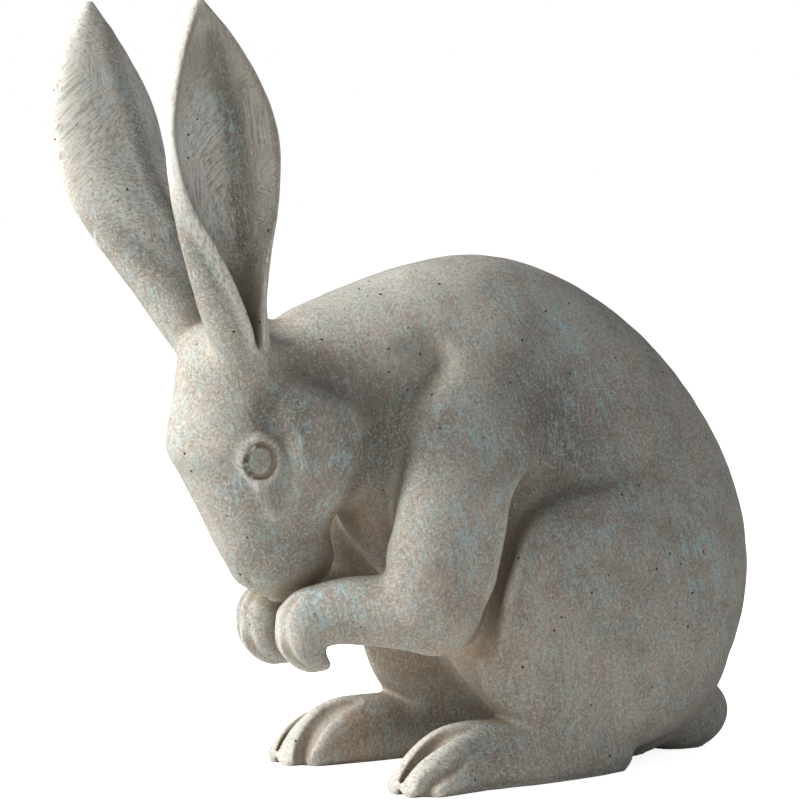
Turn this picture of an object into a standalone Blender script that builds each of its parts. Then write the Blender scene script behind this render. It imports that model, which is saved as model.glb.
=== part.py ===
"""Crouching rabbit figurine, one casting in stone.

The rabbit faces -Y, its left side is +X, and it rests on the plane Z = 0. Its form is a set of blended
masses: balls swept along a limb, columns of oval sections, and ovals. Each mass is a function that gives the
distance from any point to its surface, negative inside. Masses are joined with a fillet or taken away with a
rounded lip, and the skin of the result becomes one closed mesh. Sizes and places are in millimetres for a
rabbit MODEL_HEIGHT tall, measured from the floor, from the middle plane, and along Y from a line under the
shoulders.
"""

import bpy
import numpy as np

# Driving dimensions
HEIGHT = 0.46
MODEL_HEIGHT = 459.5

# Skin of the mesh
CELL = 3.0
COARSE_CELLS = 4
SLOPE_STEP = 0.4
SETTLING_ROUNDS = 2
SETTLING_REACH = 0.4
FLAT_BAND = 0.6
MOST_TRIANGLES = 8600
SPLINE_STEPS = 8
PINCH_ROUNDS = 3
FILLED_DEPTH = 0.05
LEAST_SLOPE = 0.3
LEAST_STEEPNESS = 0.2
TINY = 1e-6

# Fillets between the masses
HAUNCH_FILLET = 12
KNEE_FILLET = 14
HEAD_FILLET = 16
CHEEK_FILLET = 28
ARM_FILLET = 12
FOREARM_FILLET = 5
PAW_FILLET = 4
FOOT_FILLET = 6
TAIL_FILLET = 5
EAR_FILLET = 10
EAR_LIP = 3.5

# Limbs and trunk: x, y, z of the middle, half-thickness, half-width across the body
TRUNK = [
    (0, -50, 231, 54, 43),
    (0, -12, 228, 69, 51),
    (0, 28, 219, 88, 57),
    (0, 60, 200, 107, 57),
    (0, 104, 168, 111, 61),
    (0, 134, 122, 109, 74),
    (0, 148, 80, 84, 68),
]
UPPER_ARM = [
    (34, 44.5, 228, 47.5, 24),
    (44, 24, 200, 47, 27),
    (52, 8, 165, 44, 27),
    (56, -4, 130, 38, 24),
    (56, -10, 108, 29, 22),
]
FOREARM = [
    (56, -10, 106, 27, 22),
    (45, -34, 105, 22, 19),
    (33, -58, 105, 19.5, 16),
    (25, -74, 102, 18, 15),
]
PAW = [
    (23, -80, 99, 17.5, 16),
    (22, -82, 88, 14.5, 15),
    (21, -76, 78.5, 9.5, 13),
    (20, -68, 73.5, 4.5, 10),
]
HAUNCH = [
    (66, 86, 99, 70, 22),
    (61, 104, 97, 81, 28),
    (52, 121, 93, 82, 34),
    (42, 134, 93, 76, 38),
]
KNEE = [
    (58, 62, 128, 30, 20),
    (62, 51, 96, 34, 21),
    (63, 51, 72, 33.5, 21),
    (62.5, 59, 52, 30, 20),
    (62, 70, 34, 24, 18),
]
FOOT = [
    (56, 112, 12, 16, 15),
    (61, 85, 13, 21, 16),
    (64, 45, 13, 25, 18),
    (64, 10, 13, 26, 19),
    (65.5, -6, 12.5, 25, 20.5),
    (67, -19, 10, 20, 22),
    (68, -30, 6.5, 14, 22),
    (68, -38, 4.5, 8, 19),
]

# Rounded masses: middle, half-sizes
CHEEK = ((25, -68, 203), (14, 27, 32))
TAIL = ((0, 203, 22), (27, 34, 25))

# Head as a column of ovals: height, y of the middle, half-length, half-width
HEAD = [
    (109, -79, 9, 7),
    (121, -82, 27.5, 18),
    (134, -83.5, 35, 21.5),
    (150, -90, 37.5, 26.5),
    (166, -93, 42.5, 32),
    (184, -93.5, 52, 36),
    (203, -97.5, 58, 38),
    (230, -100.5, 50, 36),
    (258, -105, 40, 31),
    (276, -109, 14, 12),
]

# Ear as a column of ovals: height, x and y of the middle, half-width fore and aft, half-depth sideways
EAR = [
    (230, 14, -108, 7, 6),
    (250, 22, -118, 14.5, 13.5),
    (268, 28.5, -127, 18, 17),
    (289, 36, -136, 21, 18.5),
    (320, 51.5, -147.5, 28, 17.5),
    (349, 63, -155, 34, 17),
    (382, 68.5, -160, 35.8, 15.5),
    (409, 69, -164, 29.8, 13),
    (436, 68.5, -169.5, 18, 9.5),
    (459.5, 65, -173.5, 2.5, 3),
]
# Its hollow: height, shift outwards and backwards from the ear's middle, half-width, half-depth
EAR_HOLLOW = [
    (258, 22, 4, 2, 4),
    (272, 13, 5, 3, 12),
    (290, 10, 5, 7.5, 16),
    (318, 8.5, 3, 16, 18),
    (346, 8, 2, 28, 18),
    (382, 8, 0, 32, 16),
    (409, 7, 0, 26, 12),
    (436, 6, 0, 13.5, 7.5),
    (455, 6, 0, 2, 2),
]
EAR_SLANT = 0.86
HEAD_SLANT = 0.93

# Carving, with paths like the limbs': grooves between the toes; between the fingers, each on its own plane of
# constant x, as y, z and half-thickness; the crease round the haunch; the hollows between head and shoulder;
# and the valley between brow and cheek
INNER_TOE_GROOVE = [
    (57, 3, 37, 1.5, 1.5),
    (56.5, -8, 34.5, 3, 3),
    (56, -18, 29, 3.8, 3.8),
    (55, -26, 22.5, 4, 4),
    (54, -33, 13, 4, 4),
    (53.5, -36, 6, 4, 4),
    (53.5, -37, 0, 4, 4),
]
OUTER_TOE_GROOVE = [
    (72, 4, 37, 1.5, 1.5),
    (72, -8, 35, 3, 3),
    (72, -18, 29.5, 3.8, 3.8),
    (71.5, -26, 23, 4, 4),
    (71, -34, 14, 4, 4),
    (70.5, -38, 7, 4, 4),
    (70, -39.5, 0, 4, 4),
]
TOE_GROOVE_LIP = 6
FINGER_GROOVES_X = (17, 27)
FINGER_GROOVE = [
    (-88, 114.5, 1.5),
    (-95, 108, 2.8),
    (-98, 99, 3),
    (-96, 87, 3),
    (-88, 75, 2.8),
    (-77, 69, 2.2),
    (-70, 68, 1.5),
]
FINGER_GROOVE_LIP = 3
HAUNCH_CREASE = [
    (72, 13, 83, 3, 3),
    (70, 18, 100, 4, 4),
    (68, 24, 118, 5, 5),
    (67, 29, 135, 6, 6),
    (66, 33.5, 150, 7, 7),
    (66, 39, 164, 8.5, 8.5),
    (66, 50, 173, 8, 8),
    (67, 70, 177, 6, 6),
    (70, 95, 179, 4, 4),
    (74, 115, 181, 2, 2),
]
HAUNCH_CREASE_LIP = 10
NECK_HOLLOW = [
    (48, -8, 250, 3, 3),
    (48, -22, 236, 6, 6),
    (47, -34, 218, 8, 8),
    (46, -38, 200, 9, 9),
    (43, -41, 180, 8, 8),
    (39, -43, 160, 6, 6),
]
NAPE_HOLLOW = [
    (36, -90, 254, 3, 3),
    (42, -66, 243, 5, 5),
    (46, -44, 234, 7, 7),
]
NECK_HOLLOW_LIP = 20
CHEEK_VALLEY = [
    (36, -104, 250, 2, 2),
    (40, -108, 238, 3, 3),
    (40, -112, 219, 3, 3),
    (41, -105, 205, 2, 2),
    (40, -103, 190, 2, 2),
    (37, -107, 173, 2.5, 2.5),
    (33, -108, 160, 2, 2),
]
CHEEK_VALLEY_LIP = 12

# Eye: middle, then half-sizes of the lids, of the hollow inside them and of the eyeball
EYE = np.array([33.0, -117.0, 194.0])
LIDS = (6, 11, 12)
SOCKET = (5, 8, 9.3)
SOCKET_OUT = 5.5
EYEBALL = (6.5, 6, 7.4)
EYEBALL_SUNK = 1
LID_FILLET = 4
SOCKET_LIP = 1.5
EYEBALL_FILLET = 0.8

# Space searched for the skin
LOWEST = (0, -215, -8)
HIGHEST = (125, 270, 475)

STONE_COLOUR = (0.34, 0.325, 0.29, 1)
STONE_ROUGHNESS = 0.9


def spline(rows):
    """Points on a smooth curve through the rows, whatever each column stands for."""
    rows = np.asarray(rows, float)
    ends = np.vstack([2 * rows[0] - rows[1], rows, 2 * rows[-1] - rows[-2]])
    before, start, end, after = ends[:-3], ends[1:-2], ends[2:-1], ends[3:]
    curve = []
    for t in np.arange(SPLINE_STEPS) / SPLINE_STEPS:
        bend = 2 * before - 5 * start + 4 * end - after
        twist = -before + 3 * start - 3 * end + after
        curve.append(start + 0.5 * t * (end - before + t * (bend + t * twist)))
    curve = np.stack(curve, 1).reshape(-1, rows.shape[1])
    return np.vstack([curve, rows[-1]])


def swept_ball(points, rows):
    """A ball that changes size along its path, flattened or widened across the body."""
    curve = spline(rows).astype(np.float32)
    nearest = np.full(len(points), np.inf, np.float32)
    for start, end in zip(curve[:-1], curve[1:]):
        run = end[:3] - start[:3]
        along = np.clip((points - start[:3]) @ run / (run @ run), 0, 1)
        size = start[3] + along * (end[3] - start[3])
        width = start[4] + along * (end[4] - start[4])
        away = points - start[:3] - along[:, None] * run
        squash = size / width
        reach = np.sqrt((away[:, 0] * squash) ** 2 + away[:, 1] ** 2 + away[:, 2] ** 2)
        slope = np.sqrt((away[:, 0] * squash**2) ** 2 + away[:, 1] ** 2 + away[:, 2] ** 2)
        slope = slope / np.maximum(reach, TINY)
        nearest = np.minimum(nearest, (reach - size) / np.maximum(slope, LEAST_SLOPE))
    return nearest


def oval(points, middle, half_sizes):
    """An ellipsoid."""
    away = points - np.asarray(middle, np.float32)
    half = np.asarray(half_sizes, np.float32)
    share = np.sqrt(((away / half) ** 2).sum(1))
    slope = np.sqrt(((away / half**2) ** 2).sum(1))
    return share * (share - 1) / np.maximum(slope, TINY)


def oval_section(aside, along, half_aside, half_along):
    """Distance to an ellipse in a level plane."""
    share = np.sqrt((aside / half_aside) ** 2 + (along / half_along) ** 2)
    slope = np.sqrt((aside / half_aside**2) ** 2 + (along / half_along**2) ** 2)
    return share * (share - 1) / np.maximum(slope, TINY)


def at_height(height, rows):
    """The columns of a table, read off its smooth curve at each height."""
    curve = spline(rows)
    return [np.interp(height, curve[:, 0], column).astype(np.float32) for column in curve[:, 1:].T]


def join(one, other, fillet):
    """Both masses, with a fillet where they meet."""
    near = np.maximum(fillet - np.abs(one - other), 0) / fillet
    return np.minimum(one, other) - near**2 * fillet / 4


def cut(mass, tool, lip):
    """The mass without the tool, with a rounded lip."""
    return -join(-mass, tool, lip)


def between(height, rows):
    """Negative between the first and the last height of a table."""
    return np.maximum(height - rows[-1][0], rows[0][0] - height)


def head(points):
    height = points[:, 2]
    middle, half_length, half_width = at_height(height, HEAD)
    skin = oval_section(points[:, 0], points[:, 1] - middle, half_width, half_length)
    return np.maximum(skin * HEAD_SLANT, between(height, HEAD))


def ear(points):
    """A long oval blade, hollowed from its outer side."""
    height = points[:, 2]
    x, y, half_width, half_depth = at_height(height, EAR)
    out, back, hollow_width, hollow_depth = at_height(height, EAR_HOLLOW)
    aside, along = points[:, 0] - x, points[:, 1] - y
    blade = oval_section(aside, along, half_depth, half_width) * EAR_SLANT
    blade = np.maximum(blade, between(height, EAR))
    hollow = oval_section(aside - out, along - back, hollow_depth, hollow_width) * EAR_SLANT
    return cut(blade, np.maximum(hollow, height - EAR_HOLLOW[-1][0]), EAR_LIP)


def eye(body, points):
    """Raised lids round a hollow that holds the eyeball."""
    body = join(body, oval(points, EYE, LIDS), LID_FILLET)
    body = cut(body, oval(points, EYE + (SOCKET_OUT, 0, 0), SOCKET), SOCKET_LIP)
    return join(body, oval(points, EYE - (EYEBALL_SUNK, 0, 0), EYEBALL), EYEBALL_FILLET)


def rabbit(points):
    """Distance from each point to the skin of the whole figure."""
    side = points.copy()
    side[:, 0] = np.abs(side[:, 0])
    body = join(swept_ball(side, TRUNK), swept_ball(side, HAUNCH), HAUNCH_FILLET)
    body = join(body, swept_ball(side, KNEE), KNEE_FILLET)
    body = join(body, head(side), HEAD_FILLET)
    body = join(body, oval(side, *CHEEK), CHEEK_FILLET)
    body = join(body, swept_ball(side, UPPER_ARM), ARM_FILLET)
    body = cut(body, swept_ball(side, HAUNCH_CREASE), HAUNCH_CREASE_LIP)
    body = cut(body, swept_ball(side, NECK_HOLLOW), NECK_HOLLOW_LIP)
    body = cut(body, swept_ball(side, NAPE_HOLLOW), NECK_HOLLOW_LIP)
    body = join(body, swept_ball(side, FOREARM), FOREARM_FILLET)
    body = join(body, swept_ball(side, PAW), PAW_FILLET)
    body = join(body, swept_ball(side, FOOT), FOOT_FILLET)
    body = join(body, oval(side, *TAIL), TAIL_FILLET)
    body = cut(body, swept_ball(side, CHEEK_VALLEY), CHEEK_VALLEY_LIP)
    body = join(body, ear(side), EAR_FILLET)
    for groove in (INNER_TOE_GROOVE, OUTER_TOE_GROOVE):
        body = cut(body, swept_ball(side, groove), TOE_GROOVE_LIP)
    for x in FINGER_GROOVES_X:
        groove = [(x, y, z, half, half) for y, z, half in FINGER_GROOVE]
        body = cut(body, swept_ball(side, groove), FINGER_GROOVE_LIP)
    body = eye(body, side)
    return np.maximum(body, -points[:, 2])


def half_block(shape):
    """Values on a grid over x >= 0, exact near the skin and read between coarse cells elsewhere."""
    low, high = np.array(LOWEST, float), np.array(HIGHEST, float)
    wide = CELL * COARSE_CELLS
    counts = np.ceil((high - low) / wide).astype(int) + 1
    places = np.indices(counts).reshape(3, -1).T * wide + low
    block = shape(places.astype(np.float32)).reshape(counts)
    for axis in range(3):
        steps = np.arange((counts[axis] - 1) * COARSE_CELLS + 1)
        cell = np.minimum(steps // COARSE_CELLS, counts[axis] - 2)
        share = (steps / COARSE_CELLS - cell).astype(np.float32)
        share = share.reshape([-1 if k == axis else 1 for k in range(3)])
        block = np.take(block, cell, axis) * (1 - share) + np.take(block, cell + 1, axis) * share
    near = np.argwhere(np.abs(block) < wide)
    block[tuple(near.T)] = shape((near * CELL + low).astype(np.float32))
    return without_pinches(block), low


def without_pinches(block):
    """Fills the grid squares with only two opposite corners inside, where the skin would touch itself."""
    for axes in PINCH_ROUNDS * ((0, 1), (1, 2), (2, 0)):
        corners = []
        for start in np.ndindex(2, 2):
            spans = [slice(None)] * 3
            for axis, first in zip(axes, start):
                spans[axis] = slice(first, block.shape[axis] - 1 + first)
            corners.append(block[tuple(spans)])
        signs = [corner < 0 for corner in corners]
        pinched = (signs[0] == signs[3]) & (signs[1] == signs[2]) & (signs[0] != signs[1])
        for corner in corners:
            corner[pinched] = np.minimum(corner[pinched], -FILLED_DEPTH)
    return block


def skin_of(block, low):
    """Vertices and quads between the cells of a block where its values change sign."""
    inside = block < 0
    cells = tuple(np.array(block.shape) - 1)
    total, count = np.zeros(cells + (3,)), np.zeros(cells)
    for corner in np.ndindex(2, 2, 2):
        for axis in np.flatnonzero(np.array(corner) == 0):
            other = np.array(corner)
            other[axis] = 1
            here = tuple(slice(k, k + n) for k, n in zip(corner, cells))
            there = tuple(slice(k, k + n) for k, n in zip(other, cells))
            crosses = inside[here] != inside[there]
            share = block[here] / np.where(crosses, block[here] - block[there], 1)
            place = np.stack([np.full(cells, float(k)) for k in corner], -1)
            place[..., axis] += share
            total += place * crosses[..., None]
            count += crosses
    live = count > 0
    number = np.full(cells, -1)
    number[live] = np.arange(live.sum())
    vertices = (np.argwhere(live) + total[live] / count[live][:, None]) * CELL + low
    quads = []
    for axis in range(3):
        first, second = np.eye(3, dtype=int)[[(axis + 1) % 3, (axis + 2) % 3]]
        here = tuple(slice(0, -1) if k == axis else slice(1, -1) for k in range(3))
        there = tuple(slice(1, None) if k == axis else slice(1, -1) for k in range(3))
        for leaves, order in ((inside[here] & ~inside[there], 1), (~inside[here] & inside[there], -1)):
            edge = np.argwhere(leaves) + first + second
            ring = [edge - first - second, edge - second, edge, edge - first]
            quads.append(np.stack([number[tuple(cell.T)] for cell in ring], 1)[:, ::order])
    return vertices, np.concatenate(quads)


def settle(vertices, shape):
    """Vertices moved along the slope of the distance until they lie on the skin."""
    for _ in range(SETTLING_ROUNDS):
        places = vertices.astype(np.float32)
        steps = np.eye(3, dtype=np.float32) * SLOPE_STEP
        slope = np.stack([shape(places + step) - shape(places - step) for step in steps], 1)
        slope /= 2 * SLOPE_STEP
        steepness = np.maximum((slope**2).sum(1), LEAST_STEEPNESS)
        move = -(shape(places) / steepness)[:, None] * slope
        length = np.linalg.norm(move, axis=1, keepdims=True)
        vertices = vertices + move * np.minimum(1, SETTLING_REACH * CELL / np.maximum(length, TINY))
    vertices[:, 2] = np.where(vertices[:, 2] < FLAT_BAND, 0, vertices[:, 2])
    return vertices


def figure_mesh():
    """The figure's skin in metres, its origin under the middle of its bounds."""
    block, low = half_block(rabbit)
    mirrored = np.concatenate([block[:0:-1], block])
    low = low - ((block.shape[0] - 1) * CELL, 0, 0)
    vertices, quads = skin_of(mirrored, low)
    vertices = settle(vertices, rabbit)
    middle = (vertices.min(0) + vertices.max(0)) / 2
    vertices -= (0, middle[1], 0)
    mesh = bpy.data.meshes.new("rabbit")
    mesh.from_pydata(vertices * HEIGHT / MODEL_HEIGHT, [], quads.tolist())
    mesh.shade_smooth()
    return mesh


def stone():
    material = bpy.data.materials.new("cast_stone")
    material.use_nodes = True
    shader = material.node_tree.nodes["Principled BSDF"]
    shader.inputs["Base Color"].default_value = STONE_COLOUR
    shader.inputs["Roughness"].default_value = STONE_ROUGHNESS
    shader.inputs["Metallic"].default_value = 0
    return material


def build():
    for old in list(bpy.data.objects):
        bpy.data.objects.remove(old)
    mesh = figure_mesh()
    mesh.materials.append(stone())
    figure = bpy.data.objects.new("rabbit", mesh)
    bpy.context.scene.collection.objects.link(figure)
    facets = figure.modifiers.new("facets", "DECIMATE")
    facets.ratio = MOST_TRIANGLES / (2 * len(mesh.polygons))


build()
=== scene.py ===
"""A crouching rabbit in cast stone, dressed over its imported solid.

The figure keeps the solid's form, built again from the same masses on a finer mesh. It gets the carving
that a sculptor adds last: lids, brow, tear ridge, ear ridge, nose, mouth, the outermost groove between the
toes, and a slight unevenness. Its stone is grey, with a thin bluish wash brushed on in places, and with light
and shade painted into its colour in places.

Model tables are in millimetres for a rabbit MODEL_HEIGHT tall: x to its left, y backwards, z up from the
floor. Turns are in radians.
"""

from __future__ import annotations

import logging
import math
from dataclasses import dataclass
from enum import Enum
from typing import Protocol

import bmesh
import bpy
import numpy as np
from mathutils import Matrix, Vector

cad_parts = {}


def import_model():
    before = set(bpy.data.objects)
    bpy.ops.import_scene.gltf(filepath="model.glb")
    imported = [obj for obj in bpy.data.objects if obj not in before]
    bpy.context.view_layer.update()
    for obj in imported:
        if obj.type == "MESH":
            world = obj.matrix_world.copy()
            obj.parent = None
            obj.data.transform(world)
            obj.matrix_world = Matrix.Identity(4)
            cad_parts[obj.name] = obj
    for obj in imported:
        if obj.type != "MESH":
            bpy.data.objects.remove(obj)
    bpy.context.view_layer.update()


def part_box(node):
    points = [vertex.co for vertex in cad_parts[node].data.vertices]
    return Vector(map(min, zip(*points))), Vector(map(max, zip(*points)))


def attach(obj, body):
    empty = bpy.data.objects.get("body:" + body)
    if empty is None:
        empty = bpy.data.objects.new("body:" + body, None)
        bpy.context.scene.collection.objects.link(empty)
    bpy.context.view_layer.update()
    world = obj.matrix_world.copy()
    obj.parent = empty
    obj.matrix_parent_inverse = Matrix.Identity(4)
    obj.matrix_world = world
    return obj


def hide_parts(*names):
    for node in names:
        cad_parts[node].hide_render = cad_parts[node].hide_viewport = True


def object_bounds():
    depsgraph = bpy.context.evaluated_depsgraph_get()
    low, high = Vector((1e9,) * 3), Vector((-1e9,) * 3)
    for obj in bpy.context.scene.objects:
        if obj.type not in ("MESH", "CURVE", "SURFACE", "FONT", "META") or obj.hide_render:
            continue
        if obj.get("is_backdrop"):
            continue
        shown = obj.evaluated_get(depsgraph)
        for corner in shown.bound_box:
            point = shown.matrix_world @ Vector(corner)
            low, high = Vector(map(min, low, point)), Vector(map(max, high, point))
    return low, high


Array = np.ndarray
Row = tuple[float, ...]
Rows = tuple[Row, ...]
Socket = bpy.types.NodeSocket

MODEL_HEIGHT = 459.5
MODEL_MIDDLE_Y = 23.81
HEIGHT = 0.46
TO_METRES = HEIGHT / MODEL_HEIGHT
MM_PER_METRE = 1000
SPLINE_STEPS = 6
TINY = 1e-6
FAR = 1e4

log = logging.getLogger("rabbit")


def spline(rows: Rows) -> Array:
    """A smooth curve through rows of numbers, by the Catmull-Rom formula between each two.

    Args:
        rows: The rows to pass through, whatever each column stands for.

    Returns:
        SPLINE_STEPS rows from each row to the next, and the last row.
    """
    table = np.asarray(rows, float)
    ends = np.vstack([2 * table[0] - table[1], table, 2 * table[-1] - table[-2]])
    before, start, end, after = ends[:-3], ends[1:-2], ends[2:-1], ends[3:]
    t = (np.arange(SPLINE_STEPS) / SPLINE_STEPS)[None, :, None]
    bend = (2 * before - 5 * start + 4 * end - after)[:, None]
    twist = (-before + 3 * start - 3 * end + after)[:, None]
    curve = start[:, None] + 0.5 * t * ((end - before)[:, None] + t * (bend + t * twist))
    return np.vstack([curve.reshape(-1, table.shape[1]), table[-1]])


def at_height(height: Array, rows: Rows) -> list[Array]:
    """The columns of a table read off its smooth curve at each height.

    Args:
        height: The heights to read at.
        rows: The table, its first column the height.

    Returns:
        One array for each further column.
    """
    curve = spline(rows)
    return [np.interp(height, curve[:, 0], column).astype(np.float32) for column in curve[:, 1:].T]


def oval_section(aside: Array, along: Array, half_aside: Array, half_along: Array) -> Array:
    """Distance to an ellipse in a plane: share of the way out, times how far it falls short, over its slope.

    Args:
        aside: Place across the ellipse.
        along: Place along the ellipse.
        half_aside: Half-size across.
        half_along: Half-size along.

    Returns:
        The distance, negative inside.
    """
    share = np.sqrt((aside / half_aside) ** 2 + (along / half_along) ** 2)
    slope = np.sqrt((aside / half_aside**2) ** 2 + (along / half_along**2) ** 2)
    return share * (share - 1) / np.maximum(slope, TINY)


def join(one: Array, other: Array, fillet: float) -> Array:
    """Both masses: the nearer distance, less a parabola where the two differ by under a fillet."""
    near = np.maximum(fillet - np.abs(one - other), 0) / fillet
    return np.minimum(one, other) - near**2 * fillet / 4


def cut(mass: Array, tool: Array, lip: float) -> Array:
    """The mass without the tool, with a rounded lip."""
    return -join(-mass, tool, lip)


def unit(slopes: Array) -> Array:
    """Slopes, one a row, made 1 long."""
    return slopes / np.maximum(np.linalg.norm(slopes, axis=1, keepdims=True), TINY)


class Mass(Protocol):
    """A closed shape given by the distance to its surface."""

    def distance(self, points: Array) -> Array:
        """Distance from each point to the surface, negative inside."""

    def bounds(self) -> tuple[Array, Array]:
        """Lowest and highest corner."""


@dataclass(frozen=True)
class SweptBall:
    """A ball carried along a smooth path. Each row is x, y, z, half-thickness and half-width across the body.

    The slope of a squashed ball's distance is held at least_slope or more, so that it isn't read as too far.
    """

    rows: Rows
    least_slope: float = 0.3

    def distance(self, points: Array) -> Array:
        """The nearest of the distances to the tapered balls between each two points of the path.

        Args:
            points: Places, one a row.

        Returns:
            Distance to each, negative inside.
        """
        curve = spline(self.rows).astype(np.float32)
        nearest = np.full(len(points), FAR, np.float32)
        for start, end in zip(curve[:-1], curve[1:]):
            run = end[:3] - start[:3]
            along = np.clip((points - start[:3]) @ run / max(float(run @ run), TINY), 0, 1)
            size = start[3] + along * (end[3] - start[3])
            squash = size / (start[4] + along * (end[4] - start[4]))
            away = points - start[:3] - along[:, None] * run
            level = away[:, 1] ** 2 + away[:, 2] ** 2
            reach = np.sqrt((away[:, 0] * squash) ** 2 + level)
            slope = np.sqrt((away[:, 0] * squash**2) ** 2 + level) / np.maximum(reach, TINY)
            nearest = np.minimum(nearest, (reach - size) / np.maximum(slope, self.least_slope))
        return nearest

    def bounds(self) -> tuple[Array, Array]:
        """Lowest and highest corner."""
        curve = spline(self.rows)
        size = np.abs(curve[:, [4, 3, 3]])
        return (curve[:, :3] - size).min(0), (curve[:, :3] + size).max(0)


@dataclass(frozen=True)
class Oval:
    """An ellipsoid with its axes along x, y and z."""

    middle: Row
    half_sizes: Row

    def distance(self, points: Array) -> Array:
        """The share of the way out, times how far that falls short of 1, over its slope."""
        away = points - np.asarray(self.middle, np.float32)
        half = np.asarray(self.half_sizes, np.float32)
        share = np.sqrt(((away / half) ** 2).sum(1))
        slope = np.sqrt(((away / half**2) ** 2).sum(1))
        return share * (share - 1) / np.maximum(slope, TINY)

    def bounds(self) -> tuple[Array, Array]:
        """Lowest and highest corner."""
        return np.subtract(self.middle, self.half_sizes), np.add(self.middle, self.half_sizes)


@dataclass(frozen=True)
class OvalColumn:
    """Level ovals on the middle plane. Each row is height, y of the middle, half-length and half-width."""

    rows: Rows
    slant: float

    def distance(self, points: Array) -> Array:
        """Distance to the oval at each point's height, less for the column's slant, capped at both ends."""
        height = points[:, 2]
        middle, half_length, half_width = at_height(height, self.rows)
        skin = oval_section(points[:, 0], points[:, 1] - middle, half_width, half_length)
        ends = np.maximum(height - self.rows[-1][0], self.rows[0][0] - height)
        return np.maximum(skin * self.slant, ends)

    def bounds(self) -> tuple[Array, Array]:
        """Lowest and highest corner."""
        table = np.array(self.rows)
        wide, low, high = table[:, 3].max(), table[:, 1] - table[:, 2], table[:, 1] + table[:, 2]
        return np.array([-wide, low.min(), table[0, 0]]), np.array([wide, high.max(), table[-1, 0]])


@dataclass(frozen=True)
class EarBlade:
    """A long oval blade, hollowed from its outer side.

    Each row of the blade is height, x and y of the middle, half-width fore and aft and half-depth sideways.
    Each row of the hollow is height, shift outwards and backwards, half-width and half-depth.
    """

    rows: Rows
    hollow: Rows
    slant: float
    lip: float

    def distance(self, points: Array) -> Array:
        """Distance to the blade's oval at each height, with the hollow's oval taken out of it."""
        height = points[:, 2]
        x, y, half_width, half_depth = at_height(height, self.rows)
        out, back, hollow_width, hollow_depth = at_height(height, self.hollow)
        aside, along = points[:, 0] - x, points[:, 1] - y
        ends = np.maximum(height - self.rows[-1][0], self.rows[0][0] - height)
        blade = np.maximum(oval_section(aside, along, half_depth, half_width) * self.slant, ends)
        hollow = oval_section(aside - out, along - back, hollow_depth, hollow_width) * self.slant
        return cut(blade, np.maximum(hollow, height - self.hollow[-1][0]), self.lip)

    def bounds(self) -> tuple[Array, Array]:
        """Lowest and highest corner."""
        table = np.array(self.rows)
        size = table[:, [4, 3]]
        low, high = (table[:, 1:3] - size).min(0), (table[:, 1:3] + size).max(0)
        return np.append(low, table[0, 0]), np.append(high, table[-1, 0])


class Work(Enum):
    """What a step does with its mass."""

    JOIN = 1
    CUT = -1


@dataclass(frozen=True)
class Step:
    """One mass joined to the figure, or one tool that carves it, with the size of the fillet or lip."""

    name: str
    work: Work
    mass: Mass
    blend: float


@dataclass(frozen=True)
class Form:
    """A figure built by steps, alike on both sides of the plane x = 0.

    A step is left out at points further from its box than its blend, with a margin for rough distances.
    """

    steps: tuple[Step, ...]
    trusted_share: float = 0.8
    margin: float = 2.0
    least_slope_squared: float = 0.2

    def distance(self, points: Array) -> Array:
        """Distance from each point to the skin. A step is worked out only at the points that it can change.

        Args:
            points: Places, one a row.

        Returns:
            Distance to each, negative inside.
        """
        side = points.astype(np.float32)
        side[:, 0] = np.abs(side[:, 0])
        body = np.full(len(side), FAR, np.float32)
        for step in self.steps:
            low, high = step.mass.bounds()
            outside = np.maximum(np.maximum(low - side, side - high), 0)
            reach = np.sqrt((outside**2).sum(1)) * self.trusted_share - self.margin
            near = np.flatnonzero(reach < step.blend + step.work.value * body)
            if len(near):
                mass = step.mass.distance(side[near])
                old = body[near]
                shape = join if step.work is Work.JOIN else cut
                body[near] = shape(old, mass, step.blend)
        return np.maximum(body, -side[:, 2])

    def slope(self, points: Array, step: float = 0.3) -> tuple[Array, Array]:
        """The distance at each point, and its rise along x, y and z by central differences.

        Args:
            points: Places, one a row.
            step: How far to each side the distance is read.

        Returns:
            The distances, and one slope vector a point.
        """
        shifts = np.vstack([np.zeros((1, 3)), np.eye(3) * step, -np.eye(3) * step]).astype(np.float32)
        places = (points.astype(np.float32)[None] + shifts[:, None]).reshape(-1, 3)
        values = self.distance(places).reshape(7, -1)
        return values[0], (values[1:4] - values[4:7]).T / (2 * step)

    def settle(self, points: Array, rounds: int, longest: float) -> Array:
        """Points moved down the slope until they lie on the skin, by Newton's steps.

        Args:
            points: Places near the skin.
            rounds: How many steps to take.
            longest: The longest step allowed.

        Returns:
            The moved points.
        """
        for _ in range(rounds):
            value, slope = self.slope(points)
            steep = np.maximum((slope**2).sum(1), self.least_slope_squared)
            move = -(value / steep)[:, None] * slope
            length = np.linalg.norm(move, axis=1, keepdims=True)
            points = points + move * np.minimum(1, longest / np.maximum(length, TINY))
        return points


@dataclass(frozen=True)
class Stroke:
    """A ridge or groove drawn on the skin. Each row is x, y, z near it, radius, and depth of its middle."""

    name: str
    work: Work
    rows: Rows
    blend: float
    rounds: int = 6
    longest: float = 6.0

    def step(self, form: Form) -> Step:
        """The stroke as a step, its path laid on the skin of a form and sunk to its depth.

        Args:
            form: The form that is drawn on.

        Returns:
            The step.
        """
        rows = np.array(self.rows, float)
        places = form.settle(rows[:, :3], self.rounds, self.longest)
        _, slope = form.slope(places)
        places = places - unit(slope) * rows[:, 4:5]
        laid = np.column_stack([places, rows[:, 3], rows[:, 3]])
        return Step(self.name, self.work, SweptBall(tuple(map(tuple, laid))), self.blend)


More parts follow.
